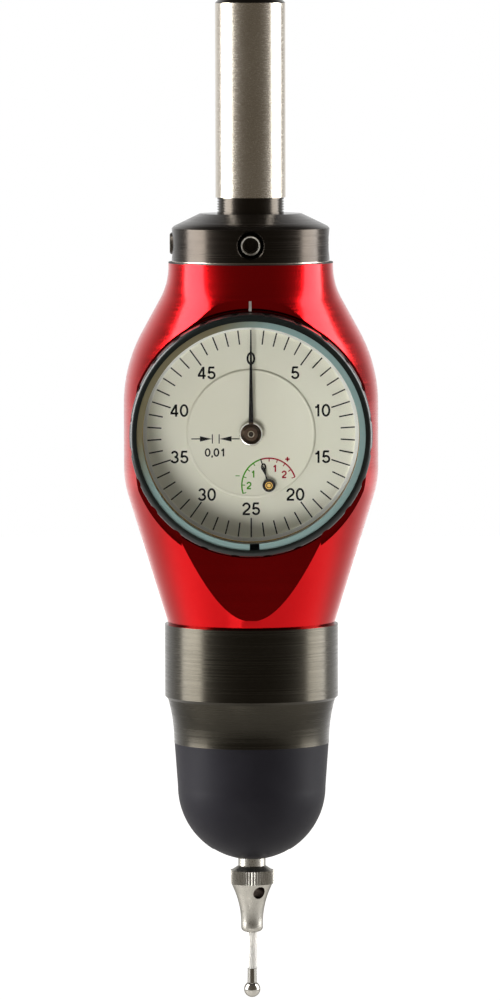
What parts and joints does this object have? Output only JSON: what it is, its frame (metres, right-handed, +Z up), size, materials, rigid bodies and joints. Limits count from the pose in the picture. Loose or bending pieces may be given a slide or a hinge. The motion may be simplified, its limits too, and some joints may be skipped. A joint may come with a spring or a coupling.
{
  "type": "edge_finder",
  "caption": "Dial-type 3D edge finder: ground shank, black collar with adjusting screws, red housing with turning bezel and two hands, steel ring, rubber boot, tilting ball stylus",
  "frame": {"origin": "on the shank's axis, at the lower end of its ground cylinder", "axes": "+Z runs up the shank towards the machine spindle, the dial faces -Y, +X is to the right as the dial is read"},
  "size_m": [0.0436, 0.0438, 0.1717],
  "materials": {
    "ground_steel": "fine ground steel",
    "black_oxide": "satin black oxide on steel",
    "red_anodised": "glossy deep red anodised aluminium with fine turning lines",
    "black_anodised": "satin black anodised aluminium",
    "clear_glass": "clear polished crystal",
    "dial_print": "matt cream enamel with printed scales",
    "black_hand": "black lacquered steel",
    "plain_steel": "turned and polished steel",
    "spring_steel": "drawn spring wire and blued ribbon",
    "movement_brass": "finely lapped brass",
    "gunmetal": "dark turned gunmetal steel",
    "black_rubber": "smooth matt black rubber",
    "white_ceramic": "ground white ceramic"
  },
  "bodies": {
    "head": {"housing": "red_anodised", "shank": "ground_steel", "collar": "black_oxide", "seat_ring": "black_oxide", "clamp_screw": "black_oxide", "clamp_washer": "plain_steel", "dial_case": "black_anodised", "case_screws": "plain_steel", "back_plate": "movement_brass", "front_plate": "movement_brass", "pillars": "movement_brass", "counter_cock": "movement_brass", "inner_dial": "dial_print", "bezel_wire": "plain_steel", "hair_spring": "spring_steel", "upper_bush": "movement_brass", "lower_bush": "movement_brass", "return_spring": "spring_steel", "steel_ring": "gunmetal", "guide_pin": "plain_steel", "ring_seal": "black_rubber", "boot": "black_rubber"},
    "front_adjuster": {"screw_front": "black_oxide"},
    "back_adjuster": {"screw_back": "black_oxide"},
    "left_adjuster": {"screw_left": "black_oxide"},
    "right_adjuster": {"screw_right": "black_oxide"},
    "turning_bezel": {"bezel": "black_anodised", "crystal": "clear_glass", "snap_ring": "plain_steel", "dial_ring": "dial_print"},
    "plunger": {"sleeve": "plain_steel", "spindle": "plain_steel", "centring_foot": "plain_steel", "centring_spring": "spring_steel"},
    "gimbal": {"gimbal_ring": "plain_steel", "gimbal_pins": "plain_steel"},
    "stylus": {"stylus_shaft": "plain_steel", "hub_pin": "plain_steel", "stylus_holder": "plain_steel", "ceramic_stem": "white_ceramic", "ball_tip": "plain_steel"},
    "first_gear": {"first_arbor": "plain_steel", "first_wheel": "movement_brass"},
    "centre_gear": {"centre_arbor": "plain_steel", "large_hand": "black_hand"},
    "takeup_gear": {"takeup_arbor": "plain_steel", "takeup_wheel": "movement_brass"},
    "counter_gear": {"counter_arbor": "movement_brass", "small_hand": "black_hand"}
  },
  "joints": [
    {"name": "plunge", "type": "slide", "parent": "head", "child": "plunger", "axis": [0, 0, 1], "range_m": [0, 0.0025], "stiffness_N_per_m": 400, "springref_m": -0.005, "deforming": ["return_spring", "boot"]},
    {"name": "tilt_across", "type": "hinge", "parent": "plunger", "child": "gimbal", "pos_m": [0, 0, -0.1012], "axis": [1, 0, 0], "range_deg": [-4, 4], "stiffness_Nm_per_rad": 0.1},
    {"name": "tilt_sideways", "type": "hinge", "parent": "gimbal", "child": "stylus", "pos_m": [0, 0, -0.1012], "axis": [0, 1, 0], "range_deg": [-4, 4], "stiffness_Nm_per_rad": 0.1},
    {"name": "bezel_turn", "type": "hinge", "parent": "head", "child": "turning_bezel", "pos_m": [0, 0, -0.0396], "axis": [0, 1, 0], "continuous": true},
    {"name": "first_turn", "type": "hinge", "parent": "head", "child": "first_gear", "pos_m": [-0.0023, 0, -0.04579], "axis": [0, 1, 0], "range_deg": [-180.01, 0.01]},
    {"name": "centre_turn", "type": "hinge", "parent": "head", "child": "centre_gear", "pos_m": [0, 0, -0.0396], "axis": [0, 1, 0], "range_deg": [-0.01, 1800.1]},
    {"name": "takeup_turn", "type": "hinge", "parent": "head", "child": "takeup_gear", "pos_m": [0.0023, 0, -0.03341], "axis": [0, 1, 0], "range_deg": [-180.01, 0.01]},
    {"name": "counter_turn", "type": "hinge", "parent": "head", "child": "counter_gear", "pos_m": [0.00302, 0, -0.04835], "axis": [0, 1, 0], "range_deg": [-0.01, 90.01]},
    {"name": "front_screw_turn", "type": "hinge", "parent": "head", "child": "front_adjuster", "pos_m": [0, 0, -0.00785], "axis": [0, -1, 0], "range_deg": [-180, 180]},
    {"name": "back_screw_turn", "type": "hinge", "parent": "head", "child": "back_adjuster", "pos_m": [0, 0, -0.00785], "axis": [0, 1, 0], "range_deg": [-180, 180]},
    {"name": "left_screw_turn", "type": "hinge", "parent": "head", "child": "left_adjuster", "pos_m": [0, 0, -0.00785], "axis": [-1, 0, 0], "range_deg": [-180, 180]},
    {"name": "right_screw_turn", "type": "hinge", "parent": "head", "child": "right_adjuster", "pos_m": [0, 0, -0.00785], "axis": [1, 0, 0], "range_deg": [-180, 180]}
  ],
  "couplings": [
    {"joint": "first_turn", "follows": "plunge", "rad_per_m": -1256.6},
    {"joint": "centre_turn", "follows": "plunge", "rad_per_m": 12566},
    {"joint": "takeup_turn", "follows": "plunge", "rad_per_m": -1256.6},
    {"joint": "counter_turn", "follows": "plunge", "rad_per_m": 628.32}
  ]
}
